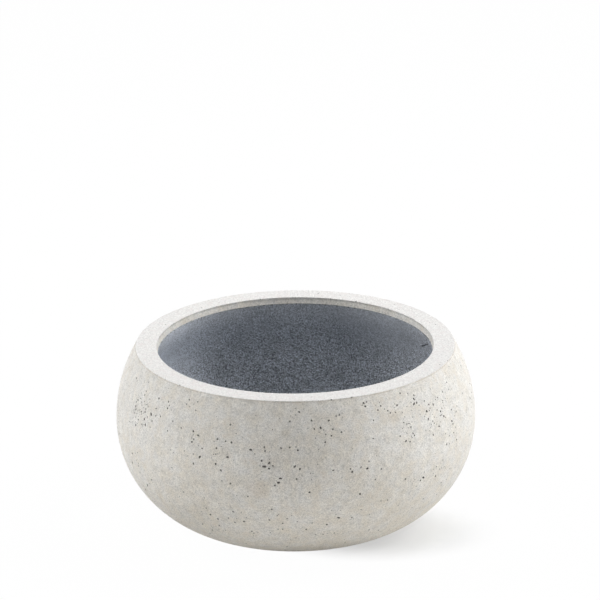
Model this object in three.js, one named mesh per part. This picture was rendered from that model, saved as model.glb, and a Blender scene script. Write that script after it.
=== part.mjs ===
// A round concrete bowl planter: a squat cast bowl with a flat lip, a dark waterproof lining
// let into a rebate under the lip, and a rubber plug in the drain hole of its floor.
// Millimetres, +Z up. The origin is on the ground, on the bowl's axis.

import * as THREE from 'three';

// Bowl, outside
const bowlDiameter = 500;        // across the belly, the widest place
const bowlHeight = 258;
const bellyDrop = 105.6;         // from the lip's top down to the belly
const shoulderRadius = 204.9;    // arc from the belly up to the lip
const heelRadius = 153;          // arc from the belly down to the ground

// Lip
const mouthDiameter = 383;
const lipEase = 1.4;             // small round on the lip's two edges
const bareBandHeight = 10;       // concrete left bare inside, above the lining
const coveDepth = 1.1;           // the bare band is hollowed this deep

// Wall, floor and underside
const wallThickness = 20;        // at the belly, lining included
const floorThickness = 20;       // lining included
const undersideRecess = 3;       // the middle of the underside stands clear of the ground
const undersideRecessRadius = 78;
const recessSlope = 4;           // width of the recess's sloping edge
const heelEase = 2;              // small bevel where the heel meets the ground

// Lining
const liningThickness = 3;
const liningLap = 1.2;           // the lining starts this far inside the mouth's edge
const neckLean = 15;             // degrees off vertical where the lining leaves the lip
const neckPull = 36;             // how far the neck keeps that lean
const bellyPull = 44;            // how far above the belly the wall turns upright

// Drain hole and plug
const drainRadius = 12.5;
const plugGap = 0.6;             // between the plug's shank and the hole
const plugTaper = 1.2;           // the shank is this much thinner at its tip
const plugHeadRadius = 17.5;
const plugHeadThickness = 3.5;
const plugSeatRadius = 20;       // sunk seat for the plug's head in the floor
const plugSeatDepth = 4;
const seatDraft = 1;             // the seat's wall leans in by this much
const plugTipInset = 2;          // the tip stops this far inside the hole
const plugGripRadius = 5;
const plugGripHeight = 8;
const plugEase = 1;

const seatGap = 0.3;             // clearance between pieces that touch
const facetsAround = 64;         // facets round the bowl, a multiple of four
const plugFacetsAround = 32;

const bowlRadius = bowlDiameter / 2;
const mouthRadius = mouthDiameter / 2;
const bellyHeight = bowlHeight - bellyDrop;
const liningTop = bowlHeight - bareBandHeight;
const seatBackRadius = plugSeatRadius + liningThickness;

// Points on an arc in the (radius, height) plane, with both ends, by angle from the horizontal.
function arcPoints(centreR, centreZ, radius, startAngle, endAngle, steps) {
  const points = [];
  for (let i = 0; i <= steps; i++) {
    const angle = startAngle + (endAngle - startAngle) * i / steps;
    points.push(new THREE.Vector2(
      centreR + radius * Math.cos(angle),
      centreZ + radius * Math.sin(angle),
    ));
  }
  return points;
}

// The bare band: a shallow cove from the lip's inner edge down to the lining.
function covePath(topZ, bottomZ, steps) {
  const points = [];
  for (let i = 0; i <= steps; i++) {
    const t = i / steps;
    const hollow = 4 * coveDepth * t * (1 - t);
    points.push(new THREE.Vector2(
      mouthRadius - liningLap * t + hollow,
      topZ + (bottomZ - topZ) * t,
    ));
  }
  return points;
}

// The same path moved sideways, to its left for a positive distance.
function offsetPath(path, distance) {
  return path.map((point, i) => {
    const before = path[Math.max(i - 1, 0)];
    const after = path[Math.min(i + 1, path.length - 1)];
    const along = after.clone().sub(before).normalize();
    return new THREE.Vector2(point.x - distance * along.y, point.y + distance * along.x);
  });
}

// A solid turned about +Z from an outline in the (radius, height) plane.
function turned(outline, facets) {
  const geometry = new THREE.LatheGeometry(outline, facets);
  geometry.rotateX(Math.PI / 2);
  return geometry;
}

function closed(outline) {
  return [...outline, outline[0].clone()];
}

// The outside of the bowl, from the ground up to the lip's outer edge.
function outsidePath() {
  const heelCentre = bowlRadius - heelRadius;
  const shoulderCentre = bowlRadius - shoulderRadius;
  const heelStart = -Math.asin((bellyHeight - heelEase) / heelRadius);
  const shoulderEnd = Math.asin((bellyDrop - lipEase) / shoulderRadius);
  const groundRadius = heelCentre + Math.sqrt(heelRadius ** 2 - bellyHeight ** 2);
  return [
    new THREE.Vector2(groundRadius, 0),
    ...arcPoints(heelCentre, bellyHeight, heelRadius, heelStart, 0, 12),
    ...arcPoints(shoulderCentre, bellyHeight, shoulderRadius, 0, shoulderEnd, 6).slice(1),
  ];
}

// The face of the lining that the soil touches, from the lip down to the floor.
function insidePath() {
  const wallRadius = bowlRadius - wallThickness;
  const cornerRadius = bellyHeight - floorThickness;
  const lean = THREE.MathUtils.degToRad(neckLean);
  const neckTop = new THREE.Vector2(mouthRadius - liningLap, liningTop);
  const neck = new THREE.CubicBezierCurve(
    neckTop,
    new THREE.Vector2(
      neckTop.x + neckPull * Math.sin(lean),
      neckTop.y - neckPull * Math.cos(lean),
    ),
    new THREE.Vector2(wallRadius, bellyHeight + bellyPull),
    new THREE.Vector2(wallRadius, bellyHeight),
  );
  const cornerCentre = wallRadius - cornerRadius;
  return [
    ...neck.getPoints(8),
    ...arcPoints(cornerCentre, bellyHeight, cornerRadius, 0, -Math.PI / 2, 10).slice(1),
  ];
}

// Cast bowl: heel, belly and shoulder outside, flat lip, bare band, then the rebate for the lining.
function concreteShell() {
  const outside = outsidePath();
  const lipOuter = outside[outside.length - 1].x;
  const bedding = offsetPath(insidePath(), liningThickness + seatGap);
  const rebateTop = liningTop + seatGap;
  bedding[0].y = rebateTop;
  const beddingFloor = floorThickness - liningThickness - seatGap;
  bedding[bedding.length - 1].y = beddingFloor;
  const outline = [
    new THREE.Vector2(undersideRecessRadius + recessSlope, 0),
    ...outside,
    ...arcPoints(lipOuter - lipEase, bowlHeight - lipEase, lipEase, Math.PI / 8, Math.PI / 2, 2),
    ...arcPoints(mouthRadius + lipEase, bowlHeight - lipEase, lipEase, Math.PI / 2, Math.PI, 3),
    ...covePath(bowlHeight - lipEase, rebateTop, 6).slice(1),
    ...bedding,
    new THREE.Vector2(seatBackRadius + seatGap, beddingFloor),
    new THREE.Vector2(seatBackRadius + seatGap, beddingFloor - plugSeatDepth),
    new THREE.Vector2(drainRadius, beddingFloor - plugSeatDepth),
    new THREE.Vector2(drainRadius, undersideRecess),
    new THREE.Vector2(undersideRecessRadius, undersideRecess),
  ];
  return turned(closed(outline), facetsAround);
}

// Lining: an even skin that hangs in the rebate, flush with the bare band above it.
function innerLiner() {
  const face = insidePath();
  const back = offsetPath(face, liningThickness);
  back[0].y = liningTop;
  back[back.length - 1].y = floorThickness - liningThickness;
  const seatTop = floorThickness - plugSeatDepth;
  const outline = [
    ...face,
    new THREE.Vector2(plugSeatRadius, floorThickness),
    new THREE.Vector2(plugSeatRadius - seatDraft, seatTop),
    new THREE.Vector2(drainRadius, seatTop),
    new THREE.Vector2(drainRadius, seatTop - liningThickness),
    new THREE.Vector2(seatBackRadius, seatTop - liningThickness),
    new THREE.Vector2(seatBackRadius, floorThickness - liningThickness),
    ...back.reverse(),
  ];
  return turned(closed(outline), facetsAround);
}

// Plug: a tapered shank in the hole, a flat head in its sunk seat and a grip to pull it by.
function drainPlug() {
  const shankRadius = drainRadius - plugGap;
  const tip = undersideRecess + plugTipInset;
  const headBottom = floorThickness - plugSeatDepth + seatGap;
  const headTop = headBottom + plugHeadThickness;
  const gripTop = headTop + plugGripHeight;
  const outline = [
    new THREE.Vector2(0, tip),
    new THREE.Vector2(shankRadius - plugTaper - plugEase, tip),
    new THREE.Vector2(shankRadius - plugTaper, tip + plugEase),
    new THREE.Vector2(shankRadius, headBottom),
    new THREE.Vector2(plugHeadRadius, headBottom),
    ...arcPoints(plugHeadRadius - plugEase, headTop - plugEase, plugEase, 0, Math.PI / 2, 3),
    new THREE.Vector2(plugGripRadius + plugEase, headTop),
    new THREE.Vector2(plugGripRadius - plugEase, headTop + plugGripHeight / 3),
    ...arcPoints(
      plugGripRadius - plugEase,
      gripTop - plugGripHeight / 4,
      plugGripHeight / 4,
      -Math.PI / 4,
      Math.PI / 2,
      5,
    ),
    new THREE.Vector2(0, gripTop),
  ];
  return turned(outline, plugFacetsAround);
}

function piece(name, geometry, color, roughness) {
  const material = new THREE.MeshStandardMaterial({ color, roughness, metalness: 0 });
  const mesh = new THREE.Mesh(geometry, material);
  mesh.name = name;
  return mesh;
}

const planter = new THREE.Group();
planter.add(piece('concrete_shell', concreteShell(), 0xdedcd6, 0.85));
planter.add(piece('inner_liner', innerLiner(), 0x565c66, 0.8));
planter.add(piece('drain_plug', drainPlug(), 0x1c1c1e, 0.7));

export default planter;
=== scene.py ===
import math
import random

import bpy
from mathutils import Matrix, Vector


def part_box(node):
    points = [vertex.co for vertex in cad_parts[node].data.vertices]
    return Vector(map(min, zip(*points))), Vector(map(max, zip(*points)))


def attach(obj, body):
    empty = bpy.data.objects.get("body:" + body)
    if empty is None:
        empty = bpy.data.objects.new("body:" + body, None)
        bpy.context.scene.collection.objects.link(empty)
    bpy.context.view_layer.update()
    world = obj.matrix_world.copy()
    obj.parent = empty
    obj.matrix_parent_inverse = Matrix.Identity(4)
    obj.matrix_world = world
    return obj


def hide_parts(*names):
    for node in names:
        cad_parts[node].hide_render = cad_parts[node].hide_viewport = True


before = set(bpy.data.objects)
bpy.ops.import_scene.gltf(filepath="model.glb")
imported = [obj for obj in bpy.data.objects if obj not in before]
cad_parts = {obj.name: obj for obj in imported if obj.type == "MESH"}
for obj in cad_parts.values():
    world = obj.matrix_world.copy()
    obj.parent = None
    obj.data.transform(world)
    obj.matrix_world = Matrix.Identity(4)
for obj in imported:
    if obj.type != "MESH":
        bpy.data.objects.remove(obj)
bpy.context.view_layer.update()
scene = bpy.context.scene
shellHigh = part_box("concrete_shell")[1]
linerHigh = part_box("inner_liner")[1]
plugLow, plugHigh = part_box("drain_plug")


def feed(tree, socket, value):
    # links another node's output, or sets a plain value
    if isinstance(value, bpy.types.NodeSocket):
        tree.links.new(value, socket)
    else:
        socket.default_value = value


def addNode(tree, kind, inputs=None, **settings):
    node = tree.nodes.new(kind)
    for name, value in settings.items():
        setattr(node, name, value)
    for name, value in (inputs or {}).items():
        feed(tree, node.inputs[name], value)
    return node


def mathNode(tree, operation, a, b=None, c=None, clamp=False):
    node = addNode(tree, "ShaderNodeMath", operation=operation, use_clamp=clamp)
    for index, value in enumerate((a, b, c)):
        if value is not None:
            feed(tree, node.inputs[index], value)
    return node.outputs[0]


def times(tree, a, b):
    return mathNode(tree, "MULTIPLY", a, b)


def vectorMath(tree, operation, a, b=None):
    node = addNode(tree, "ShaderNodeVectorMath", operation=operation)
    feed(tree, node.inputs[0], a)
    if b is not None:
        feed(tree, node.inputs[1], b)
    return node.outputs["Value"] if operation in ("LENGTH", "DOT_PRODUCT") else node.outputs[0]


def scaled(tree, vector, factor):
    # a direction or a colour, times a number
    node = addNode(tree, "ShaderNodeVectorMath", {"Scale": factor}, operation="SCALE")
    feed(tree, node.inputs[0], vector)
    return node.outputs[0]


def distanceTo(tree, place, spot):
    return vectorMath(tree, "LENGTH", vectorMath(tree, "SUBTRACT", place, spot))


def smoothStep(tree, value, low, high):
    node = addNode(tree, "ShaderNodeMapRange", {"Value": value, "From Min": low, "From Max": high},
                   interpolation_type="SMOOTHSTEP")
    return node.outputs["Result"]


def arcPoints(centreR, centreZ, radius, startAngle, endAngle, steps):
    # outlines are drawn in a plane of radius and height
    points = []
    for i in range(steps + 1):
        angle = startAngle + (endAngle - startAngle) * i / steps
        points.append((centreR + radius * math.cos(angle), centreZ + radius * math.sin(angle)))
    return points


def linePoints(start, end, steps):
    return [tuple(a + (b - a) * i / steps for a, b in zip(start, end)) for i in range(steps + 1)]


def joinPaths(*paths):
    # one closed outline, without a point twice
    outline = []
    for path in paths:
        for point in path:
            if not outline or math.dist(point, outline[-1]) > 1e-5:
                outline.append(point)
    if math.dist(outline[0], outline[-1]) < 1e-5:
        outline.pop()
    return outline


def offsetPath(path, distance):
    # the same path moved to its left
    moved = []
    for i, (r, z) in enumerate(path):
        r0, z0 = path[max(i - 1, 0)]
        r1, z1 = path[min(i + 1, len(path) - 1)]
        length = math.hypot(r1 - r0, z1 - z0)
        moved.append((r - distance * (z1 - z0) / length, z + distance * (r1 - r0) / length))
    return moved


def aroundAxis(radius, turn, height):
    # turn in radians, 0 towards the viewer, positive to the right
    return Vector((radius * math.sin(turn), -radius * math.cos(turn), height))


def pointsObject(name, points):
    mesh = bpy.data.meshes.new(name)
    mesh.from_pydata(points, [], [])
    obj = bpy.data.objects.new(name, mesh)
    scene.collection.objects.link(obj)
    return obj


def outlineObject(name, outline):
    return pointsObject(name, [(r, 0, z) for r, z in outline])


def marksObject(name, marks):
    # each mark: point, size, how far it is sunk, how far it is drawn out, spin
    obj = pointsObject(name, [mark[0] for mark in marks])
    for column, label in enumerate(("size", "sink", "stretch", "spin"), start=1):
        attribute = obj.data.attributes.new(label, "FLOAT", "POINT")
        attribute.data.foreach_set("value", [mark[column] for mark in marks])
    return obj


def socketId(tree, name):
    for item in tree.interface.items_tree:
        if item.item_type == "SOCKET" and item.in_out == "INPUT" and item.name == name:
            return item.identifier
    raise KeyError(name)


def runTree(obj, tree, values, name):
    # evaluates the tree on obj and returns its result as a plain mesh object
    modifier = obj.modifiers.new(tree.name, "NODES")
    modifier.node_group = tree
    for key, value in values.items():
        modifier[socketId(tree, key)] = value
    obj.update_tag()
    graph = bpy.context.evaluated_depsgraph_get()
    mesh = bpy.data.meshes.new_from_object(obj.evaluated_get(graph))
    mesh.name = name
    result = bpy.data.objects.new(name, mesh)
    scene.collection.objects.link(result)
    obj.modifiers.remove(modifier)
    return result


def newTree(name, inputs):
    # each input: its starting value, or the kind of thing it takes
    kinds = {int: "Int", float: "Float", tuple: "Vector"}
    tree = bpy.data.node_groups.new(name, "GeometryNodeTree")
    tree.interface.new_socket("Geometry", in_out="INPUT", socket_type="NodeSocketGeometry")
    for label, value in inputs.items():
        kind = kinds.get(type(value), value)
        socket = tree.interface.new_socket(label, in_out="INPUT", socket_type=f"NodeSocket{kind}")
        if kind != value:
            socket.default_value = value
    tree.interface.new_socket("Geometry", in_out="OUTPUT", socket_type="NodeSocketGeometry")
    return tree, tree.nodes.new("NodeGroupInput"), tree.nodes.new("NodeGroupOutput")


bowl = {
    "radius": shellHigh.x,
    "height": shellHigh.z,
    "bellyDrop": 0.1056,        # lip down to the belly
    "shoulderRadius": 0.2049,
    "heelRadius": 0.153,
    "heelEase": 0.002,
    "mouthRadius": 0.1915,
    "lipEase": 0.0012,
    "lipEaseStart": math.radians(25),
    "coveDepth": 0.0011,        # the bare band is hollowed this deep
    "coveRise": 0.3,            # share of the band in which the hollow sets in
    "coveFall": 0.62,           # share in which it runs out
    "wall": 0.020,              # at the belly, lining included
    "floor": 0.020,
    "recess": 0.003,            # under the middle of the foot
    "recessRadius": 0.078,
    "recessSlope": 0.004,
    "drainRadius": 0.0125,
    "seatRadius": 0.020,        # sunk seat for the plug's head
    "seatDepth": 0.004,
    "gap": 0.0003,              # between pieces that touch
    "facets": 320,
    "rippleDepth": 0.0005,      # slow waves of the casting
    "rippleScale": 9.0,
    "grainDepth": 0.00015,
    "grainScale": 70.0,
    "stillFoot": 0.012,         # the waves set in above the ground
    "holeFacets": 8,
}

lining = {
    "top": linerHigh.z,
    "thickness": 0.003,
    "lap": 0.0012,              # it starts this far inside the mouth's edge
    "neckLean": math.radians(15),
    "neckPull": 0.036,
    "bellyPull": 0.044,
    "seatDraft": 0.001,         # the seat's wall leans in by this much
    "facets": 420,
    "trowelDepth": 0.0007,
    "trowelScale": 16.0,
    "gritDepth": 0.00012,
    "gritScale": 420.0,
    "smoothSpot": (0.113, 0.160, 0.234),   # the coat is smoother round here
    "smoothReach": 0.10,
    "edgeWander": 0.0012,       # how raggedly the top edge rises
    "edgeProud": 0.0004,        # how far it stands proud
    "crackFacets": 6,
}

bellyHeight = bowl["height"] - bowl["bellyDrop"]
footEdge = 0.0005               # height at which the foot leaves the ground
shallowest = 0.00004            # a face this far under the uncut surface is in a hole


def outsidePath(heelSteps, shoulderSteps):
    heelCentre = bowl["radius"] - bowl["heelRadius"]
    shoulderCentre = bowl["radius"] - bowl["shoulderRadius"]
    heelStart = -math.asin((bellyHeight - bowl["heelEase"]) / bowl["heelRadius"])
    shoulderEnd = math.asin((bowl["bellyDrop"] - bowl["lipEase"]) / bowl["shoulderRadius"])
    ground = heelCentre + math.sqrt(bowl["heelRadius"] ** 2 - bellyHeight ** 2)
    return joinPaths(
        [(ground, 0.0)],
        arcPoints(heelCentre, bellyHeight, bowl["heelRadius"], heelStart, 0, heelSteps),
        arcPoints(shoulderCentre, bellyHeight, bowl["shoulderRadius"], 0, shoulderEnd, shoulderSteps),
    )


def bezierPoints(p0, p1, p2, p3, steps):
    points = []
    for i in range(steps + 1):
        t = i / steps
        k = ((1 - t) ** 3, 3 * t * (1 - t) ** 2, 3 * t * t * (1 - t), t ** 3)
        points.append(tuple(sum(w * p[axis] for w, p in zip(k, (p0, p1, p2, p3))) for axis in (0, 1)))
    return points


def insidePath(neckSteps, cornerSteps):
    wallRadius = bowl["radius"] - bowl["wall"]
    cornerRadius = bellyHeight - bowl["floor"]
    top = (bowl["mouthRadius"] - lining["lap"], lining["top"])
    lean = lining["neckLean"]
    neck = bezierPoints(
        top,
        (top[0] + lining["neckPull"] * math.sin(lean), top[1] - lining["neckPull"] * math.cos(lean)),
        (wallRadius, bellyHeight + lining["bellyPull"]),
        (wallRadius, bellyHeight),
        neckSteps,
    )
    corner = arcPoints(wallRadius - cornerRadius, bellyHeight, cornerRadius, 0, -math.pi / 2, cornerSteps)
    return joinPaths(neck, corner)


def shellOutline():
    outside = outsidePath(44, 26)
    lipOuter = outside[-1][0]
    ease = bowl["lipEase"]
    lipZ = bowl["height"]
    flatOuter = lipOuter - ease * 0.8
    flatInner = bowl["mouthRadius"] + ease
    bandTop = lipZ - ease
    bandBottom = lining["top"] + bowl["gap"]
    cove = []
    coveSteps = 16
    for i in range(coveSteps + 1):
        t = i / coveSteps
        setIn = math.sin(min(t / bowl["coveRise"], 1) * math.pi / 2)
        hollow = bowl["coveDepth"] * min(setIn, (1 - t) / bowl["coveFall"])
        r = bowl["mouthRadius"] - lining["lap"] * t + hollow
        cove.append((r, bandTop + (bandBottom - bandTop) * t))
    bedding = offsetPath(insidePath(10, 12), lining["thickness"] + bowl["gap"])
    bedding[0] = (bedding[0][0], bandBottom)
    beddingFloor = bowl["floor"] - lining["thickness"] - bowl["gap"]
    bedding[-1] = (bedding[-1][0], beddingFloor)
    seat = bowl["seatRadius"] + lining["thickness"] + bowl["gap"]
    seatZ = beddingFloor - bowl["seatDepth"]
    recessOuter = bowl["recessRadius"] + bowl["recessSlope"]
    return joinPaths(
        linePoints((recessOuter, 0.0), outside[0], 4),
        outside,
        arcPoints(flatOuter, lipZ - ease, ease, bowl["lipEaseStart"], math.pi / 2, 6),
        linePoints((flatOuter, lipZ), (flatInner, lipZ), 12),
        arcPoints(flatInner, lipZ - ease, ease, math.pi / 2, math.pi, 6),
        cove,
        bedding,
        [(seat, beddingFloor), (seat, seatZ)],
        [(bowl["drainRadius"], seatZ), (bowl["drainRadius"], bowl["recess"])],
        linePoints((bowl["drainRadius"], bowl["recess"]), (bowl["recessRadius"], bowl["recess"]), 8),
    )


def addTurned(tree, outline, facets):
    # grid whose columns are copies of the outline, turned about Z and closed
    points = addNode(tree, "GeometryNodeAttributeDomainSize", {"Geometry": outline}).outputs["Point Count"]
    rows = mathNode(tree, "ADD", points, 1.0)
    columns = mathNode(tree, "ADD", facets, 1.0)
    grid = addNode(tree, "GeometryNodeMeshGrid", {"Vertices X": columns, "Vertices Y": rows})
    index = addNode(tree, "GeometryNodeInputIndex").outputs[0]
    column = mathNode(tree, "FLOOR", mathNode(tree, "DIVIDE", mathNode(tree, "ADD", index, 0.5), rows))
    row = mathNode(tree, "SUBTRACT", index, times(tree, column, rows))
    wrapped = mathNode(tree, "MODULO", row, points)
    column = mathNode(tree, "MODULO", column, facets)
    sample = addNode(tree, "GeometryNodeSampleIndex", data_type="FLOAT_VECTOR")
    tree.links.new(outline, sample.inputs["Geometry"])
    position = addNode(tree, "GeometryNodeInputPosition").outputs[0]
    tree.links.new(position, sample.inputs["Value"])
    tree.links.new(mathNode(tree, "ROUND", wrapped), sample.inputs["Index"])
    angle = times(tree, mathNode(tree, "DIVIDE", column, facets), 2 * math.pi)
    turn = addNode(tree, "ShaderNodeVectorRotate", {"Vector": sample.outputs[0], "Angle": angle},
                   rotation_type="Z_AXIS")
    place = addNode(tree, "GeometryNodeSetPosition",
                    {"Geometry": grid.outputs["Mesh"], "Position": turn.outputs[0]})
    merged = addNode(tree, "GeometryNodeMergeByDistance",
                     {"Geometry": place.outputs[0], "Distance": 1e-5})
    return merged.outputs[0]


def addTriangles(tree, mesh):
    # the cut works on triangles, so what it is measured against has the same ones
    triangles = addNode(tree, "GeometryNodeTriangulate", {"Mesh": mesh}, quad_method="SHORTEST_DIAGONAL")
    return triangles.outputs[0]


def pushed(tree, mesh, offset):
    return addNode(tree, "GeometryNodeSetPosition", {"Geometry": mesh, "Offset": offset}).outputs[0]


def painted(tree, mesh, material, faces=True):
    return addNode(tree, "GeometryNodeSetMaterial",
                   {"Geometry": mesh, "Selection": faces, "Material": material}).outputs[0]


def addRipple(tree, mesh, depth, scale, mask):
    # pushes the surface inwards by up to depth, so that it stays inside its box
    noise = addNode(tree, "ShaderNodeTexNoise", {"Scale": scale, "Detail": 2.0, "Roughness": 0.45})
    push = times(tree, noise.outputs["Fac"], times(tree, depth, mask))
    normal = addNode(tree, "GeometryNodeInputNormal").outputs[0]
    return pushed(tree, mesh, scaled(tree, normal, times(tree, push, -1.0)))


def addHoleTools(tree, holes, surface, toolFacets):
    # one rough ball for each point, snapped to the surface and sunk by its own amount
    source = addNode(tree, "GeometryNodeObjectInfo", {"Object": holes}).outputs["Geometry"]
    near = addNode(tree, "GeometryNodeProximity", {"Geometry": surface}, target_element="FACES")
    snapped = addNode(tree, "GeometryNodeSetPosition",
                      {"Geometry": source, "Position": near.outputs["Position"]}).outputs[0]
    normalAt = addNode(tree, "GeometryNodeSampleNearestSurface", {"Mesh": surface},
                       data_type="FLOAT_VECTOR")
    tree.links.new(addNode(tree, "GeometryNodeInputNormal").outputs[0], normalAt.inputs["Value"])
    normal = normalAt.outputs["Value"]
    reads = {}
    for label in ("size", "sink", "stretch", "spin"):
        read = addNode(tree, "GeometryNodeInputNamedAttribute", {"Name": label}, data_type="FLOAT")
        reads[label] = read.outputs["Attribute"]
    sink = times(tree, times(tree, reads["size"], reads["sink"]), -1.0)
    sunk = pushed(tree, snapped, scaled(tree, normal, sink))
    align = addNode(tree, "FunctionNodeAlignRotationToVector", {"Vector": normal}, axis="Z")
    spin = addNode(tree, "FunctionNodeAxisAngleToRotation", {"Axis": (0, 0, 1), "Angle": reads["spin"]})
    rotation = addNode(tree, "FunctionNodeRotateRotation",
                       {"Rotation": align.outputs[0], "Rotate By": spin.outputs[0]},
                       rotation_space="LOCAL")
    long = times(tree, reads["size"], reads["stretch"])
    scale = addNode(tree, "ShaderNodeCombineXYZ", {"X": reads["size"], "Y": long, "Z": reads["size"]})
    ball = addNode(tree, "GeometryNodeMeshUVSphere",
                   {"Segments": toolFacets, "Rings": 5, "Radius": 1.0})
    placed = addNode(tree, "GeometryNodeInstanceOnPoints",
                     {"Points": sunk, "Instance": ball.outputs[0],
                      "Rotation": rotation.outputs[0], "Scale": scale.outputs[0]})
    solid = addNode(tree, "GeometryNodeRealizeInstances", {"Geometry": placed.outputs[0]})
    rough = addNode(tree, "ShaderNodeTexNoise", {"Scale": 700.0, "Detail": 1.0})
    centred = vectorMath(tree, "SUBTRACT", rough.outputs["Color"], (0.5, 0.5, 0.5))
    jitter = scaled(tree, centred, times(tree, reads["size"], 0.9))
    return pushed(tree, solid.outputs[0], jitter)


def addCut(tree, surface, tools):
    cut = addNode(tree, "GeometryNodeMeshBoolean", operation="DIFFERENCE", solver="MANIFOLD")
    tree.links.new(surface, cut.inputs["Mesh 1"])
    tree.links.new(tools, cut.inputs["Mesh 2"])
    return cut.outputs["Mesh"], cut.outputs["Intersecting Edges"]


def addFinish(tree, mesh, edges, surface, bodyMaterial, holeMaterial):
    # faces that stand off the uncut surface are hole walls
    smooth = addNode(tree, "GeometryNodeSetShadeSmooth", {"Geometry": mesh, "Shade Smooth": True})
    sharp = addNode(tree, "GeometryNodeSetShadeSmooth",
                    {"Geometry": smooth.outputs[0], "Selection": edges, "Shade Smooth": False},
                    domain="EDGE")
    near = addNode(tree, "GeometryNodeProximity", {"Geometry": surface}, target_element="FACES")
    inHole = addNode(tree, "FunctionNodeCompare", {"A": near.outputs["Distance"], "B": shallowest},
                     operation="GREATER_THAN")
    real = addNode(tree, "GeometryNodeRealizeInstances", {"Geometry": sharp.outputs[0]})
    body = painted(tree, real.outputs[0], bodyMaterial)
    return painted(tree, body, holeMaterial, inHole.outputs[0])


def shellTree():
    tree, given, result = newTree("castBowl", {
        "Facets": bowl["facets"],
        "Ripple Depth": bowl["rippleDepth"],
        "Ripple Scale": bowl["rippleScale"],
        "Grain Depth": bowl["grainDepth"],
        "Grain Scale": bowl["grainScale"],
        "Foot Height": bowl["stillFoot"],
        "Holes": "Object",
        "Hole Facets": bowl["holeFacets"],
        "Concrete": "Material",
        "Hole Wall": "Material",
    })
    pins = given.outputs
    turned = addTurned(tree, pins["Geometry"], pins["Facets"])
    position = addNode(tree, "GeometryNodeInputPosition").outputs[0]
    split = addNode(tree, "ShaderNodeSeparateXYZ", {"Vector": position})
    aboveFoot = smoothStep(tree, split.outputs["Z"], footEdge, pins["Foot Height"])
    rippled = addRipple(tree, turned, pins["Ripple Depth"], pins["Ripple Scale"], aboveFoot)
    grained = addRipple(tree, rippled, pins["Grain Depth"], pins["Grain Scale"], aboveFoot)
    cast = addTriangles(tree, grained)
    tools = addHoleTools(tree, pins["Holes"], cast, pins["Hole Facets"])
    cut, edges = addCut(tree, cast, tools)
    done = addFinish(tree, cut, edges, cast, pins["Concrete"], pins["Hole Wall"])
    tree.links.new(done, result.inputs["Geometry"])
    return tree


def surfacePoint(azimuth, height):
    # on the outside wall, azimuth in degrees
    if height >= bellyHeight:
        radius = bowl["shoulderRadius"]
    else:
        radius = bowl["heelRadius"]
    centre = bowl["radius"] - radius
    r = centre + math.sqrt(max(radius ** 2 - (height - bellyHeight) ** 2, 0))
    return aroundAxis(r, math.radians(azimuth), height)


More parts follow.
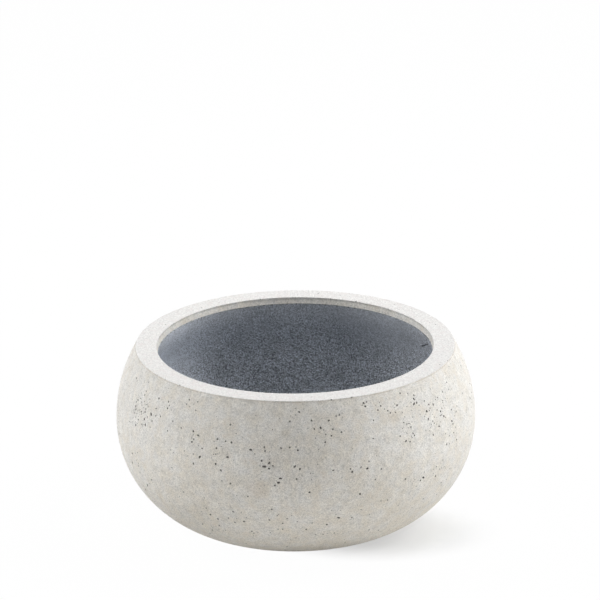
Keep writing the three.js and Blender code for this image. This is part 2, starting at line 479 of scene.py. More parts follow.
bugHoles = {
    "seed": 11,
    "small": 0.0005,         # radii
    "large": 0.0017,
    "clusterSmall": 0.00066,
    "gap": 0.0002,           # least rim between two holes
    "deepShare": 0.72,       # the others are shallow dents
    "clusterDeepShare": 0.88,
    "lowest": 0.012,
    "highest": 0.252,
    # how many, and their size as a share of the usual one
    "loose": (330, 0.85),    # all over, outside the clusters
    "nearFoot": (150, 0.9),
    "onLip": (34, 0.6),
    "onLipEdge": (44, 0.75),
    "lipMargin": 0.003,      # those on the lip's flat keep this far from its edges
    "backClusters": 26,
    # clusters on the side that the viewer sees: azimuth, height, spread across, spread up, count
    "clusters": (
        (-61, 0.203, 0.014, 0.012, 80), (-54, 0.209, 0.010, 0.010, 10), (-70, 0.236, 0.008, 0.008, 5),
        (-47, 0.222, 0.012, 0.010, 7), (-38, 0.237, 0.012, 0.006, 7), (-35, 0.203, 0.004, 0.006, 5),
        (-38, 0.176, 0.012, 0.007, 7), (-25, 0.190, 0.012, 0.009, 9), (-21, 0.220, 0.010, 0.008, 6),
        (-12, 0.196, 0.012, 0.011, 8), (-10, 0.180, 0.010, 0.006, 7), (-6, 0.149, 0.014, 0.007, 7),
        (3, 0.160, 0.008, 0.012, 9), (-1, 0.242, 0.006, 0.008, 6), (7, 0.212, 0.016, 0.012, 12),
        (13, 0.230, 0.010, 0.010, 11), (24, 0.242, 0.010, 0.006, 8), (31, 0.237, 0.008, 0.005, 6),
        (38, 0.217, 0.008, 0.014, 20), (45, 0.236, 0.008, 0.008, 10), (39, 0.189, 0.010, 0.006, 7),
        (48, 0.204, 0.010, 0.010, 10), (53, 0.222, 0.012, 0.012, 18), (52, 0.197, 0.008, 0.006, 12),
        (60, 0.185, 0.012, 0.010, 16), (61, 0.167, 0.012, 0.006, 7), (60, 0.228, 0.010, 0.006, 6),
        (17, 0.171, 0.014, 0.007, 8), (27, 0.150, 0.020, 0.014, 8), (31, 0.111, 0.008, 0.003, 4),
        (44, 0.132, 0.014, 0.010, 7), (54, 0.134, 0.016, 0.008, 10), (59, 0.110, 0.012, 0.005, 5),
        (-64, 0.140, 0.016, 0.014, 11), (-56, 0.115, 0.016, 0.008, 8), (-61, 0.086, 0.006, 0.008, 6),
        (-32, 0.086, 0.010, 0.010, 7), (-31, 0.055, 0.018, 0.010, 9), (-21, 0.080, 0.014, 0.010, 6),
        (-6, 0.092, 0.010, 0.010, 7), (-2, 0.064, 0.022, 0.010, 9), (-16, 0.062, 0.008, 0.008, 4),
        (15, 0.093, 0.016, 0.008, 8), (12, 0.058, 0.014, 0.006, 4),
    ),
    # the widest single holes there: azimuth, height, radius
    "widest": (
        (-71, 0.238, 0.0013), (-53, 0.233, 0.0014), (-48, 0.234, 0.0012), (-35, 0.207, 0.0016),
        (-33, 0.203, 0.0013), (-44, 0.212, 0.0012), (-61, 0.130, 0.0012), (-26, 0.191, 0.0014),
        (-26, 0.169, 0.0014), (-22, 0.181, 0.0013), (-23, 0.202, 0.0013), (-21, 0.144, 0.0013),
        (-10, 0.173, 0.0018), (-8.5, 0.178, 0.0015), (-15.5, 0.127, 0.0012), (-8, 0.109, 0.0013),
        (-16, 0.066, 0.0013), (-34, 0.163, 0.0012), (-2, 0.233, 0.0013), (0.5, 0.196, 0.0014),
        (-0.5, 0.174, 0.0013), (0, 0.156, 0.0015), (4, 0.136, 0.0016), (8, 0.224, 0.0015),
        (12, 0.221, 0.0013), (30, 0.241, 0.0014), (39, 0.250, 0.0013), (44, 0.238, 0.0013),
        (48, 0.207, 0.0013), (52, 0.222, 0.0013), (56, 0.201, 0.0016), (40, 0.205, 0.0012),
        (-31, 0.097, 0.0011), (5, 0.085, 0.0012), (-4, 0.035, 0.0011), (-39, 0.115, 0.0012),
    ),
}


def holeSize(dice, crowding=2.6):
    # more of the small ones the higher the crowding
    return bugHoles["small"] + (bugHoles["large"] - bugHoles["small"]) * dice.random() ** crowding


def placeHoles():
    dice = random.Random(bugHoles["seed"])
    wallRadius = 0.24           # about the wall's radius where the clusters are
    spots = []

    def offer(point, size, deepShare=bugHoles["deepShare"]):
        # takes the hole if it stands clear of those before it
        stretch = 1.0 + 0.9 * dice.random() ** 3
        reach = size * stretch
        sink = dice.uniform(0.05, 0.45) if dice.random() < deepShare else dice.uniform(-0.6, -0.3)
        spin = dice.uniform(0, 2 * math.pi)
        for other, otherSize, _, otherStretch, _ in spots:
            if (other - point).length < (reach + otherSize * otherStretch) * 1.15 + bugHoles["gap"]:
                return
        spots.append((point, size, sink, stretch, spin))

    def offerCluster(azimuth, height, across, up, count):
        for _ in range(count):
            z = height + dice.gauss(0, up)
            turn = azimuth + math.degrees(dice.gauss(0, across) / wallRadius)
            if bugHoles["lowest"] < z < bugHoles["highest"]:
                size = max(holeSize(dice, 1.7), bugHoles["clusterSmall"])
                offer(surfacePoint(turn, z), size, bugHoles["clusterDeepShare"])

    for azimuth, height, size in bugHoles["widest"]:
        offer(surfacePoint(azimuth, height), size, 1.0)
    for cluster in bugHoles["clusters"]:
        offerCluster(*cluster)
    for _ in range(bugHoles["backClusters"]):
        offerCluster(dice.uniform(78, 282), dice.uniform(0.05, 0.24), dice.uniform(0.008, 0.03),
                     dice.uniform(0.006, 0.018), dice.randint(5, 26))
    count, share = bugHoles["loose"]
    for _ in range(count):
        point = surfacePoint(dice.uniform(-180, 180), dice.uniform(bugHoles["lowest"], 0.254))
        offer(point, holeSize(dice) * share)
    count, share = bugHoles["nearFoot"]
    for _ in range(count):
        azimuth = dice.uniform(-180, 180)
        point = surfacePoint(azimuth, bugHoles["lowest"] + 0.04 * dice.random() ** 1.5)
        offer(point, holeSize(dice) * share)
    lipInner = bowl["mouthRadius"]
    lipOuter = outsidePath(4, 4)[-1][0]
    margin = bugHoles["lipMargin"]
    count, share = bugHoles["onLip"]
    for _ in range(count):
        turn = dice.uniform(0, 2 * math.pi)
        r = dice.uniform(lipInner + margin, lipOuter - margin)
        offer(aroundAxis(r, turn, bowl["height"]), holeSize(dice) * share)
    count, share = bugHoles["onLipEdge"]
    for _ in range(count):
        # little nicks in the lip's two edges
        turn = dice.uniform(0, 2 * math.pi)
        r = lipOuter if dice.random() < 0.6 else lipInner + 0.0003
        offer(aroundAxis(r, turn, bowl["height"] - 0.0005), holeSize(dice) * share)
    return marksObject("bugHoles", spots)


def linerOutline():
    face = insidePath(60, 60)
    thickness = lining["thickness"]
    back = offsetPath(insidePath(10, 12), thickness)
    back[0] = (back[0][0], lining["top"])
    back[-1] = (back[-1][0], bowl["floor"] - thickness)
    seatTop = bowl["floor"] - bowl["seatDepth"]
    seatBack = bowl["seatRadius"] + thickness
    seatInner = bowl["seatRadius"] - lining["seatDraft"]
    return joinPaths(
        linePoints((back[0][0], lining["top"]), face[0], 3),
        face,
        linePoints(face[-1], (bowl["seatRadius"] + 0.0008, bowl["floor"]), 36),
        [(bowl["seatRadius"], bowl["floor"] - 0.0005), (seatInner, seatTop)],
        linePoints((seatInner, seatTop), (bowl["drainRadius"], seatTop), 3),
        [(bowl["drainRadius"], seatTop - thickness), (seatBack, seatTop - thickness)],
        [(seatBack, bowl["floor"] - thickness)],
        list(reversed(back)),
    )


def linerTree():
    tree, given, result = newTree("grittyLining", {
        "Facets": lining["facets"],
        "Trowel Depth": lining["trowelDepth"],
        "Trowel Scale": lining["trowelScale"],
        "Grit Depth": lining["gritDepth"],
        "Grit Scale": lining["gritScale"],
        "Smooth Spot": lining["smoothSpot"],
        "Smooth Reach": lining["smoothReach"],
        "Edge Wander": lining["edgeWander"],
        "Edge Proud": lining["edgeProud"],
        "Cracks": "Object",
        "Crack Facets": lining["crackFacets"],
        "Lining": "Material",
        "Crack Wall": "Material",
    })
    pins = given.outputs
    turned = addTurned(tree, pins["Geometry"], pins["Facets"])
    position = addNode(tree, "GeometryNodeInputPosition").outputs[0]
    split = addNode(tree, "ShaderNodeSeparateXYZ", {"Vector": position})
    outward = vectorMath(tree, "NORMALIZE", vectorMath(tree, "MULTIPLY", position, (-1.0, -1.0, 0.0)))
    facing = vectorMath(tree, "ADD", outward, (0.0, 0.0, 1.0))
    normal = addNode(tree, "GeometryNodeInputNormal").outputs[0]
    shown = smoothStep(tree, vectorMath(tree, "DOT_PRODUCT", normal, facing), 0.0, 0.25)
    toSpot = distanceTo(tree, position, pins["Smooth Spot"])
    rough = smoothStep(tree, toSpot, times(tree, pins["Smooth Reach"], 0.35),
                       pins["Smooth Reach"])
    gritMask = times(tree, shown, mathNode(tree, "MULTIPLY_ADD", rough, 0.75, 0.25))
    waved = addRipple(tree, turned, pins["Trowel Depth"], pins["Trowel Scale"], shown)
    gritty = addRipple(tree, waved, pins["Grit Depth"], pins["Grit Scale"], gritMask)
    edge = smoothStep(tree, split.outputs["Z"], lining["top"] - 0.0015, lining["top"])
    wander = addNode(tree, "ShaderNodeTexNoise", {"Scale": 90.0, "Detail": 3.0, "Roughness": 0.6})
    rise = times(tree, mathNode(tree, "SUBTRACT", wander.outputs["Fac"], 0.35),
                    times(tree, pins["Edge Wander"], edge))
    proud = scaled(tree, outward, times(tree, edge, pins["Edge Proud"]))
    lift = addNode(tree, "ShaderNodeCombineXYZ", {"Z": times(tree, rise, shown)})
    ragged = pushed(tree, gritty, vectorMath(tree, "ADD", lift.outputs[0], proud))
    coat = addTriangles(tree, ragged)
    tools = addHoleTools(tree, pins["Cracks"], coat, pins["Crack Facets"])
    cut, edges = addCut(tree, coat, tools)
    done = addFinish(tree, cut, edges, coat, pins["Lining"], pins["Crack Wall"])
    tree.links.new(done, result.inputs["Geometry"])
    return tree


crack = {
    # azimuth in degrees and height
    "path": ((108.6, 0.2425), (108.0, 0.2395), (109.5, 0.2354), (109.3, 0.2315), (114.2, 0.2238),
             (116.7, 0.2201), (121.6, 0.2119)),
    "branch": ((119.8, 0.2147), (120.8, 0.2095)),
    "step": 0.0021,          # between the cuts that make it up
    "width": 0.0010,
    "sink": 0.3,
    "stretch": 1.7,
    "edgeNotches": 90,       # little notches in the lining's top edge
    "seed": 3,
}


def insideRadius(height):
    path = insidePath(60, 60)
    for (r0, z0), (r1, z1) in zip(path, path[1:]):
        if z1 <= height <= z0:
            return r0 + (r1 - r0) * (height - z0) / (z1 - z0)
    return path[-1][0]


def placeCracks():
    dice = random.Random(crack["seed"])
    neckRadius = 0.2            # about the lining's radius where the crack runs
    marks = []
    for path in (crack["path"], crack["branch"]):
        for (a0, z0), (a1, z1) in zip(path, path[1:]):
            across = math.radians(a1 - a0) * neckRadius
            along = math.atan2(z1 - z0, across)
            count = max(int(math.hypot(across, z1 - z0) / crack["step"]), 1)
            for i in range(count):
                t = (i + 0.5) / count
                z = z0 + (z1 - z0) * t
                point = aroundAxis(insideRadius(z), math.radians(a0 + (a1 - a0) * t), z)
                size = crack["width"] * dice.uniform(0.7, 1.2)
                marks.append((point, size, crack["sink"], crack["stretch"], along))
    edgeRadius = bowl["mouthRadius"] - lining["lap"]
    for i in range(crack["edgeNotches"]):
        turn = 2 * math.pi * (i + dice.uniform(0.1, 0.9)) / crack["edgeNotches"]
        point = aroundAxis(edgeRadius, turn, lining["top"] - 0.0004)
        size = dice.uniform(0.0005, 0.0011)
        marks.append((point, size, 0.2, dice.uniform(1.0, 1.8), dice.uniform(-0.4, 0.4)))
    return marksObject("crackMarks", marks)


plug = {
    "headRadius": plugHigh.x,
    "tip": plugLow.z,
    "gripTop": plugHigh.z,
    "headBottom": bowl["floor"] - bowl["seatDepth"] + bowl["gap"],
    "headThickness": 0.0035,
    "shankRadius": bowl["drainRadius"] - 0.0006,
    "taper": 0.0012,         # the shank is this much thinner at its tip
    "ease": 0.001,
    "gripRadius": 0.005,
    "facets": 96,
}


def plugOutline():
    headTop = plug["headBottom"] + plug["headThickness"]
    grip = plug["gripRadius"]
    knobRadius = (plug["gripTop"] - headTop) / 4
    ease = plug["ease"]
    shank = plug["shankRadius"]
    head = plug["headRadius"]
    knobZ = plug["gripTop"] - knobRadius
    return joinPaths(
        linePoints((0.0004, plug["tip"]), (shank - plug["taper"] - ease, plug["tip"]), 5),
        arcPoints(shank - plug["taper"] - ease, plug["tip"] + ease, ease, -math.pi / 2, 0, 4),
        linePoints((shank - plug["taper"], plug["tip"] + ease), (shank, plug["headBottom"] - 0.0006), 8),
        [(shank - 0.0004, plug["headBottom"] - 0.0003), (shank - 0.0004, plug["headBottom"])],
        linePoints((shank + 0.0002, plug["headBottom"]), (head - 0.0006, plug["headBottom"]), 4),
        arcPoints(head - 0.0006, plug["headBottom"] + 0.0006, 0.0006, -math.pi / 2, 0, 3),
        arcPoints(head - ease, headTop - ease, ease, 0, math.pi / 2, 5),
        linePoints((head - ease - 0.0012, headTop), (head - 0.0045, headTop - 0.0005), 3),
        linePoints((head - 0.0052, headTop - 0.0005), (grip + 0.003, headTop - 0.0004), 5),
        [(grip + 0.0015, headTop), (grip + 0.0002, headTop + 0.0006)],
        linePoints((grip - 0.0008, headTop + 0.0022), (grip - 0.001, knobZ - 0.0022), 3),
        arcPoints(grip - ease, knobZ, knobRadius, -math.pi / 4, math.pi / 2, 8),
        linePoints((grip - ease - 0.0005, plug["gripTop"]), (0.0004, plug["gripTop"] - 0.0004), 4),
    )


def plugTree():
    tree, given, result = newTree("mouldedPlug", {
        "Facets": plug["facets"],
        "Rubber": "Material",
    })
    pins = given.outputs
    turned = addTurned(tree, pins["Geometry"], pins["Facets"])
    smooth = addNode(tree, "GeometryNodeSetShadeSmooth", {"Geometry": turned, "Shade Smooth": True})
    real = addNode(tree, "GeometryNodeRealizeInstances", {"Geometry": smooth.outputs[0]})
    tree.links.new(painted(tree, real.outputs[0], pins["Rubber"]), result.inputs["Geometry"])
    return tree


def newMaterial(name):
    material = bpy.data.materials.new(name)
    material.use_nodes = True
    tree = material.node_tree
    tree.nodes.clear()
    shader = tree.nodes.new("ShaderNodeBsdfPrincipled")
    output = tree.nodes.new("ShaderNodeOutputMaterial")
    tree.links.new(shader.outputs[0], output.inputs["Surface"])
    return material, tree, shader


def objectPlace(tree, stretch=(1.0, 1.0, 1.0)):
    place = addNode(tree, "ShaderNodeTexCoord").outputs["Object"]
    return addNode(tree, "ShaderNodeMapping", {"Vector": place, "Scale": stretch}).outputs[0]


def noiseAt(tree, place, scale, detail=2.0, roughness=0.5):
    node = addNode(tree, "ShaderNodeTexNoise",
                   {"Vector": place, "Scale": scale, "Detail": detail, "Roughness": roughness})
    return node.outputs["Fac"]


def remap(tree, value, low, high, toLow=0.0, toHigh=1.0):
    node = addNode(tree, "ShaderNodeMapRange", {"Value": value, "From Min": low, "From Max": high,
                                                "To Min": toLow, "To Max": toHigh})
    return node.outputs["Result"]


def mixColour(tree, factor, a, b):
    node = addNode(tree, "ShaderNodeMix", data_type="RGBA")
    feed(tree, node.inputs[0], factor)
    for index, colour in ((6, a), (7, b)):
        if isinstance(colour, tuple):
            colour = (*colour, 1.0)
        feed(tree, node.inputs[index], colour)
    return node.outputs[2]


def stain(tree, mask, share, colour, stainColour):
    # lays so much of the stain's colour over the colour, where the mask is 1
    return mixColour(tree, times(tree, mask, share), colour, stainColour)


def shadeBy(tree, colour, pattern, depth):
    # darker and lighter by the depth, as the pattern goes
    return scaled(tree, colour, remap(tree, pattern, 0.25, 0.75, 1 - depth, 1 + depth))


def bumpFrom(tree, height, strength, distance, normal=None):
    node = addNode(tree, "ShaderNodeBump", {"Height": height, "Strength": strength, "Distance": distance})
    if normal is not None:
        tree.links.new(normal, node.inputs["Normal"])
    return node.outputs[0]


concreteLook = {
    "cool": (0.805, 0.790, 0.753),
    "warm": (0.765, 0.722, 0.640),
    "mottle": (0.66, 0.595, 0.50),
    "mottleShare": 0.34,
    "speck": (0.30, 0.25, 0.19),
    "speckShare": 0.34,
    "stain": (0.62, 0.47, 0.30),
    "stainShare": 0.22,
    "stainSpots": (          # x, y, z, reach
        (-0.019, -0.234, 0.086, 0.013),
        (0.131, -0.197, 0.225, 0.020),
        (-0.052, -0.244, 0.138, 0.024),
    ),
    "streakStretch": (1.0, 1.0, 0.14),
    # how far each pattern darkens and lightens the colour
    "blotchDepth": 0.06,
    "stippleDepth": 0.09,
    "streakDepth": 0.04,
    "grainDepth": 0.20,
    "sandDepth": 0.24,
    "roughness": 0.88,
    "specular": 0.4,
}

lipLook = {
    "colour": (0.79, 0.785, 0.775),
    "share": 0.85,           # the rest is the wall's own colour
    "edge": (0.0012, 0.0006),            # the lip's colour sets in this far under its top
    "grainDepth": 0.18,
    "sandDepth": 0.22,
    "speck": (0.42, 0.33, 0.29),
    "speckShare": 0.30,
    "blush": (0.74, 0.70, 0.695),
    "blushShare": 0.5,
    # painted shadow: a thin dark line just under the lip's outer edge
    "paintedShadowLine": (0.50, 0.43, 0.36),
    "paintedShadowShare": 0.42,
    "paintedShadowDrop": 0.0019,
    "paintedShadowHalf": (0.0009, 0.0003),
    "paintedShadowInner": (0.012, 0.016),         # only this far outside the mouth
}


def concreteMaterial():
    look = concreteLook
    material, tree, shader = newMaterial("antiqueConcrete")
    place = objectPlace(tree)
    split = addNode(tree, "ShaderNodeSeparateXYZ", {"Vector": place}).outputs
    # from clouds as wide as a hand down to grains of sand
    clouds = noiseAt(tree, place, 8.0, 4.0, 0.55)
    blotches = noiseAt(tree, place, 30.0, 3.0, 0.6)
    flecks = noiseAt(tree, place, 62.0, 1.0, 0.5)
    stipple = noiseAt(tree, place, 105.0, 2.0, 0.6)
    streaks = noiseAt(tree, objectPlace(tree, look["streakStretch"]), 75.0, 4.0, 0.6)
    grain = noiseAt(tree, place, 330.0, 2.0, 0.6)
    sand = noiseAt(tree, place, 820.0, 1.0, 0.5)
    # warmer towards the foot, and cooler at the two sides as a painted highlight: the paler tone of their
    # brightly lit faces
    foot = remap(tree, split["Z"], 0.02, 0.20, 0.34, -0.06)
    paintedLitSides = smoothStep(tree, mathNode(tree, "ABSOLUTE", split["X"]), 0.13, 0.23)
    drift = mathNode(tree, "ADD", remap(tree, clouds, 0.30, 0.70, 0.26, 0.62), foot)
    drift = mathNode(tree, "MULTIPLY_ADD", paintedLitSides, -0.33, drift)
    warmth = mathNode(tree, "ADD", remap(tree, flecks, 0.30, 0.70, -0.36, 0.36), drift, clamp=True)
    colour = mixColour(tree, warmth, look["cool"], look["warm"])
    colour = shadeBy(tree, colour, blotches, look["blotchDepth"])
    colour = shadeBy(tree, colour, stipple, look["stippleDepth"])
    colour = shadeBy(tree, colour, streaks, look["streakDepth"])
    colour = shadeBy(tree, colour, grain, look["grainDepth"])
    colour = shadeBy(tree, colour, sand, look["sandDepth"])
    mottles = times(tree, smoothStep(tree, blotches, 0.46, 0.66),
                       smoothStep(tree, stipple, 0.42, 0.62))
    colour = stain(tree, mottles, look["mottleShare"], colour, look["mottle"])
    # fine brown specks, thicker in the blotches and near the foot
    pitted = remap(tree, split["Z"], 0.01, 0.07, 0.06, 0.0)
    thickness = mathNode(tree, "MULTIPLY_ADD", blotches, 0.30, mathNode(tree, "ADD", grain, pitted))
    colour = stain(tree, smoothStep(tree, thickness, 0.74, 0.84), look["speckShare"], colour, look["speck"])
    for x, y, z, reach in look["stainSpots"]:
        away = mathNode(tree, "MULTIPLY_ADD", blotches, 0.02, distanceTo(tree, place, (x, y, z)))
        spot = smoothStep(tree, away, reach + 0.01, 0.008)
        colour = stain(tree, spot, look["stainShare"], colour, look["stain"])
    colour = addLipColourAndShadow(tree, colour, place, split["Z"], (blotches, stipple, grain, sand))
    tree.links.new(colour, shader.inputs["Base Color"])
    shader.inputs["Roughness"].default_value = look["roughness"]
    shader.inputs["Specular IOR Level"].default_value = look["specular"]
    fine = bumpFrom(tree, noiseAt(tree, place, 900.0, 2.0, 0.6), 0.45, 0.0003)
    coarse = bumpFrom(tree, stipple, 0.35, 0.0012, fine)
    tree.links.new(coarse, shader.inputs["Normal"])
    return material


def addLipColourAndShadow(tree, colour, place, height, patterns):
    blotches, stipple, grain, sand = patterns
    top = bowl["height"]
    lipColour = shadeBy(tree, lipLook["colour"], grain, lipLook["grainDepth"])
    lipColour = shadeBy(tree, lipColour, sand, lipLook["sandDepth"])
    specks = smoothStep(tree, grain, 0.66, 0.76)
    lipColour = stain(tree, specks, lipLook["speckShare"], lipColour, lipLook["speck"])
    blush = smoothStep(tree, stipple, 0.48, 0.62)
    lipColour = stain(tree, blush, lipLook["blushShare"], lipColour, lipLook["blush"])
    low, high = lipLook["edge"]
    onLip = smoothStep(tree, height, top - low, top - high)
    colour = stain(tree, onLip, lipLook["share"], colour, lipColour)
    # painted shadow: a dark line just under the lip's outer edge, patchy along its length
    below = mathNode(tree, "SUBTRACT", top - lipLook["paintedShadowDrop"], height)
    nearPaintedShadow = smoothStep(tree, mathNode(tree, "ABSOLUTE", below), *lipLook["paintedShadowHalf"])
    radial = vectorMath(tree, "LENGTH", vectorMath(tree, "MULTIPLY", place, (1.0, 1.0, 0.0)))
    inner, outer = lipLook["paintedShadowInner"]
    outside = smoothStep(tree, radial, bowl["mouthRadius"] + inner, bowl["mouthRadius"] + outer)
    shadowPatchiness = remap(tree, blotches, 0.35, 0.6, 0.4, 1.0)
    paintedShadowLine = times(tree, times(tree, nearPaintedShadow, outside), shadowPatchiness)
    return stain(tree, paintedShadowLine, lipLook["paintedShadowShare"], colour, lipLook["paintedShadowLine"])


# hole walls: darker dust in the pores, with painted shade that deepens their dark look
holeDustAndShadeLook = {
    "dark": (0.15, 0.145, 0.135),
    "dustyAndPaintedLight": (0.28, 0.27, 0.245),
    "roughness": 0.95,
    "specular": 0.1,
}


def holeWallMaterial():
    material, tree, shader = newMaterial("holeWall")
    # the dark colour is partly dust and partly painted shade inside the pores
    dustAndPaintedLight = noiseAt(tree, objectPlace(tree), 600.0)
    colour = mixColour(tree, remap(tree, dustAndPaintedLight, 0.3, 0.7), holeDustAndShadeLook["dark"], holeDustAndShadeLook["dustyAndPaintedLight"])
    tree.links.new(colour, shader.inputs["Base Color"])
    shader.inputs["Roughness"].default_value = holeDustAndShadeLook["roughness"]
    shader.inputs["Specular IOR Level"].default_value = holeDustAndShadeLook["specular"]
    return material


liningLook = {
    "dark": (0.080, 0.084, 0.090),
    "pale": (0.88, 0.925, 1.0),
    "paleShare": 0.47,       # of the grains
    # painted light: more pale grains on the left inner wall, where the light falls
    "paintedLightSpot": (-0.20, 0.09, 0.165),
    "paintedLightReach": 0.18,
    "dustAndPaintedLight": 0.44,            # this much more of the pale grains there
    "grainScale": 1500.0,
    "bumpScale": 700.0,
    "bumpStrength": 0.5,
    "bumpDepth": 0.0008,
    "patchScale": 22.0,
    "patchShades": (0.88, 1.1),
    "smoothGrain": 0.6,      # share of the grain left in the smooth spot
    "edgeCalm": 0.35,        # share of the grain lost at the top edge
    "roughness": 0.6,
    "specular": 0.5,
    "sheen": 0.10,
    "sheenRoughness": 0.5,
    # near-black crack and notch walls: painted shade in the crevices
    "crackShadeDark": (0.02, 0.022, 0.026),
    "crackShadeLight": (0.05, 0.054, 0.06),
    "crackRoughness": 0.9,
}


def liningMaterial():
    look = liningLook
    material, tree, shader = newMaterial("grittyCoating")
    place = objectPlace(tree)
    away = distanceTo(tree, place, lining["smoothSpot"])
    rough = smoothStep(tree, away, lining["smoothReach"] * 0.35, lining["smoothReach"])
    height = addNode(tree, "ShaderNodeSeparateXYZ", {"Vector": place}).outputs["Z"]
    nearEdge = smoothStep(tree, height, 0.20, lining["top"])
    spread = mathNode(tree, "MULTIPLY_ADD", rough, 1 - look["smoothGrain"], look["smoothGrain"])
    calm = mathNode(tree, "MULTIPLY_ADD", nearEdge, -look["edgeCalm"], 1.0)
    spread = times(tree, spread, calm)
    # each grain is pale or dark by its own share of chance
    grains = addNode(tree, "ShaderNodeTexVoronoi",
                     {"Vector": place, "Scale": look["grainScale"], "Randomness": 1.0})
    chance = addNode(tree, "ShaderNodeSeparateColor", {"Color": grains.outputs["Color"]}).outputs
    # painted light on the left inner wall, by a larger share of pale grains
    paintedLightAway = distanceTo(tree, place, look["paintedLightSpot"])
    dustyAndPaintedLight = times(tree, smoothStep(tree, paintedLightAway, look["paintedLightReach"], 0.02), look["dustAndPaintedLight"])
    share = mathNode(tree, "ADD", dustyAndPaintedLight, look["paleShare"])
    paleGrain = smoothStep(tree, mathNode(tree, "ADD", chance["Red"], share), 0.9, 1.1)
    tone = mathNode(tree, "MULTIPLY_ADD", mathNode(tree, "SUBTRACT", paleGrain, share), spread, share,
                    clamp=True)
    colour = mixColour(tree, tone, look["dark"], look["pale"])
    patches = noiseAt(tree, place, look["patchScale"], 3.0, 0.6)
    colour = scaled(tree, colour, remap(tree, patches, 0.3, 0.7, *look["patchShades"]))
    tree.links.new(colour, shader.inputs["Base Color"])
    shader.inputs["Roughness"].default_value = look["roughness"]
    shader.inputs["Specular IOR Level"].default_value = look["specular"]
    shader.inputs["Sheen Weight"].default_value = look["sheen"]
    shader.inputs["Sheen Roughness"].default_value = look["sheenRoughness"]
    bumps = noiseAt(tree, place, look["bumpScale"], 1.0)
    raised = times(tree, mathNode(tree, "ADD", bumps, chance["Green"]), spread)
    tree.links.new(bumpFrom(tree, raised, look["bumpStrength"], look["bumpDepth"]), shader.inputs["Normal"])
    return material


def crackWallMaterial():
    material, tree, shader = newMaterial("crackWall")
    # crack and notch walls darkened as painted shade
    dustAndPaintedLight = noiseAt(tree, objectPlace(tree), 500.0)
    colour = mixColour(tree, dustAndPaintedLight, liningLook["crackShadeDark"], liningLook["crackShadeLight"])
    tree.links.new(colour, shader.inputs["Base Color"])
    shader.inputs["Roughness"].default_value = liningLook["crackRoughness"]
    return material


rubberLook = {
    "black": (0.018, 0.018, 0.019),
    "dustyAndPaintedLight": (0.07, 0.068, 0.064),
    "roughness": (0.45, 0.75),       # clean, dusty
}


def rubberMaterial():
    material, tree, shader = newMaterial("plugRubber")
    place = objectPlace(tree)
    dustAndPaintedLight = noiseAt(tree, place, 260.0, 4.0, 0.65)
    colour = mixColour(tree, remap(tree, dustAndPaintedLight, 0.45, 0.75), rubberLook["black"], rubberLook["dustyAndPaintedLight"])
    tree.links.new(colour, shader.inputs["Base Color"])
    tree.links.new(remap(tree, dustAndPaintedLight, 0.3, 0.8, *rubberLook["roughness"]), shader.inputs["Roughness"])
    tree.links.new(bumpFrom(tree, noiseAt(tree, place, 900.0), 0.3, 0.0002), shader.inputs["Normal"])
    return material


materials = {
    "concrete": concreteMaterial(),
    "holeWall": holeWallMaterial(),
    "lining": liningMaterial(),
    "crackWall": crackWallMaterial(),
    "rubber": rubberMaterial(),
}
print("materials ready")

holes = placeHoles()
shellBase = outlineObject("shellOutline", shellOutline())
shell = runTree(shellBase, shellTree(), {
    "Holes": holes,
    "Concrete": materials["concrete"],
    "Hole Wall": materials["holeWall"],
}, "castShell")
print("shell:", len(shell.data.polygons), "faces,", len(holes.data.vertices), "bug holes")

cracks = placeCracks()
linerBase = outlineObject("linerOutline", linerOutline())
liner = runTree(linerBase, linerTree(), {
    "Cracks": cracks,
    "Lining": materials["lining"],
    "Crack Wall": materials["crackWall"],
}, "innerCoating")
print("lining:", len(liner.data.polygons), "faces")

plugBase = outlineObject("plugOutline", plugOutline())
bung = runTree(plugBase, plugTree(), {"Rubber": materials["rubber"]}, "rubberPlug")
print("plug:", len(bung.data.polygons), "faces")

for helper in (holes, cracks, shellBase, linerBase, plugBase):
    bpy.data.objects.remove(helper)

for piece, body, node, slot in (
    (shell, "bowl", "concrete_shell", "concrete"),
    (liner, "bowl", "inner_liner", "lining"),
    (bung, "plug", "drain_plug", "plug_rubber"),
):
    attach(piece, body)
    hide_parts(node)


def seenDirectly(tree):
    # 1 for what the camera sees, also in a reflection or through glass
    rays = addNode(tree, "ShaderNodeLightPath").outputs
    mirrored = mathNode(tree, "ADD", rays["Is Glossy Ray"], rays["Is Transmission Ray"])
    return mathNode(tree, "ADD", rays["Is Camera Ray"], mirrored, clamp=True)


stage = {
    "floorHalf": 9.0,
    "floorColour": (0.90, 0.90, 0.90),
    "shadeColour": (0.97, 0.985, 1.0),   # the floor where its shadow is kept
    "softShadow": 0.015,      # share of the shadow kept all round the bowl
    # where all of it is kept: middle and reach of an oval
    "ovals": (
        ((0.113, -0.057, 0.0), (0.18, 0.118, 1.0)),    # at the right of the bowl's front
        ((0.0, 0.13, 0.0), (0.19, 0.15, 1.0)),         # behind it
    ),
    "ovalCore": 0.38,         # share of the reach in which nothing fades
    "footShare": 0.51,        # share kept close to the foot, where it would be darkest
    "footRadius": (0.173, 0.2185),
}


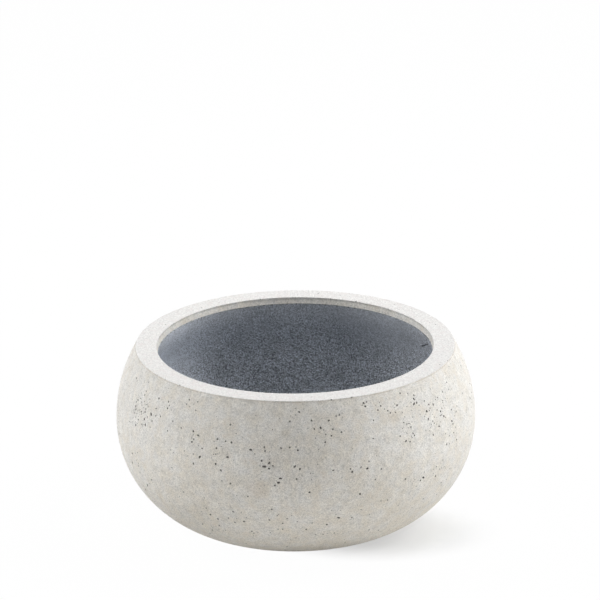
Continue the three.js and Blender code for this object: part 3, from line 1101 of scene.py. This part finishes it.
def makeFloor():
    half = stage["floorHalf"]
    corners = [(-half, -half, 0), (half, -half, 0), (half, half, 0), (-half, half, 0)]
    mesh = bpy.data.meshes.new("studioFloor")
    mesh.from_pydata(corners, [], [(0, 1, 2, 3)])
    floor = bpy.data.objects.new("studioFloor", mesh)
    scene.collection.objects.link(floor)
    material = bpy.data.materials.new("studioFloor")
    material.use_nodes = True
    tree = material.node_tree
    tree.nodes.clear()
    plain = addNode(tree, "ShaderNodeBsdfDiffuse", {"Color": (*stage["floorColour"], 1.0)})
    shaded = addNode(tree, "ShaderNodeBsdfDiffuse", {"Color": (*stage["shadeColour"], 1.0)})
    # the shadow is strongest at the right of the bowl's front, as in the photograph
    place = addNode(tree, "ShaderNodeTexCoord").outputs["Object"]
    shares = []
    for middle, reach in stage["ovals"]:
        offset = vectorMath(tree, "DIVIDE", vectorMath(tree, "SUBTRACT", place, middle), reach)
        shares.append(smoothStep(tree, vectorMath(tree, "LENGTH", offset), 1.0, stage["ovalCore"]))
    kept = mathNode(tree, "MAXIMUM", *shares)
    near = smoothStep(tree, vectorMath(tree, "LENGTH", place), *stage["footRadius"])
    near = mathNode(tree, "MULTIPLY_ADD", near, 1 - stage["footShare"], stage["footShare"])
    kept = times(tree, kept, near)
    kept = mathNode(tree, "MULTIPLY_ADD", kept, 1 - stage["softShadow"], stage["softShadow"])
    white = addNode(tree, "ShaderNodeEmission", {"Strength": 1.0})
    backdrop = addNode(tree, "ShaderNodeMixShader", {"Fac": kept})
    tree.links.new(white.outputs[0], backdrop.inputs[1])
    tree.links.new(shaded.outputs[0], backdrop.inputs[2])
    mix = addNode(tree, "ShaderNodeMixShader", {"Fac": seenDirectly(tree)})
    tree.links.new(plain.outputs[0], mix.inputs[1])
    tree.links.new(backdrop.outputs[0], mix.inputs[2])
    output = tree.nodes.new("ShaderNodeOutputMaterial")
    tree.links.new(mix.outputs[0], output.inputs["Surface"])
    mesh.materials.append(material)


studio = {
    "lampDistance": 3.0,
    "lampTarget": (0, 0, 0.16),
    "worldLight": 0.03,
    # azimuth (0 towards the viewer, right positive), elevation, width, height, watts
    "lamps": {
        "rightHigh": (100, 50, 1.5, 1.5, 46.0),
        "rightMiddle": (97, 27, 1.2, 1.0, 12.0),
        "rightSide": (90, 6, 1.5, 0.6, 19.0),
        "leftSide": (-97, 33, 1.5, 1.5, 55.0),
        "backHigh": (180, 45, 1.5, 1.5, 27.0),
        "frontHigh": (0, 45, 1.5, 1.5, 7.5),
        "frontLow": (0, 5, 1.5, 0.6, 10.0),
    },
}


def makeLights():
    target = Vector(studio["lampTarget"])
    for name, (azimuth, elevation, width, height, watts) in studio["lamps"].items():
        lamp = bpy.data.lights.new(name, "AREA")
        lamp.shape = "RECTANGLE"
        lamp.size = width
        lamp.size_y = height
        lamp.energy = watts
        obj = bpy.data.objects.new(name, lamp)
        scene.collection.objects.link(obj)
        rise = math.radians(elevation)
        away = aroundAxis(math.cos(rise), math.radians(azimuth), math.sin(rise))
        obj.location = target + studio["lampDistance"] * away
        obj.rotation_euler = away.to_track_quat("Z", "Y").to_euler()
    world = bpy.data.worlds.new("studioWorld")
    scene.world = world
    world.use_nodes = True
    tree = world.node_tree
    tree.nodes.clear()
    # white where it is seen, and only a little light on the bowl
    light = studio["worldLight"]
    strength = mathNode(tree, "MULTIPLY_ADD", seenDirectly(tree), 1.0 - light, light)
    sky = addNode(tree, "ShaderNodeBackground", {"Strength": strength})
    output = tree.nodes.new("ShaderNodeOutputWorld")
    tree.links.new(sky.outputs[0], output.inputs["Surface"])


camera = {
    "imageSize": 600,
    "focalPixels": 5262,
    "sensor": 36.0,
    "elevation": math.radians(20.34),
    "roll": math.radians(-0.584),
    "distance": 7.294,                  # to the middle of the lip
    "lipPixel": (295.14, 343.83),       # where the middle of the lip falls in the photograph
}


def makeCamera():
    data = bpy.data.cameras.new("photoCamera")
    data.sensor_width = camera["sensor"]
    data.lens = camera["focalPixels"] * camera["sensor"] / camera["imageSize"]
    data.clip_end = 60.0
    obj = bpy.data.objects.new("photoCamera", data)
    scene.collection.objects.link(obj)
    lip = Vector((0, 0, bowl["height"]))
    rise = camera["elevation"]
    obj.location = lip + camera["distance"] * Vector((0, -math.cos(rise), math.sin(rise)))
    half = camera["imageSize"] / 2
    right = (camera["lipPixel"][0] - half) / camera["focalPixels"]
    up = (half - camera["lipPixel"][1]) / camera["focalPixels"]
    facing = (obj.location - lip).to_track_quat("Z", "Y").to_matrix()
    offAxis = Vector((right, up, -1.0)).normalized()
    swing = offAxis.rotation_difference(Vector((0, 0, -1))).to_matrix()
    obj.matrix_world = Matrix.Translation(obj.location) @ (
        facing @ Matrix.Rotation(camera["roll"], 3, "Z") @ swing).to_4x4()
    scene.camera = obj


makeFloor()
makeLights()
makeCamera()
scene.view_settings.view_transform = "Standard"
print("stage, lamps and camera ready")
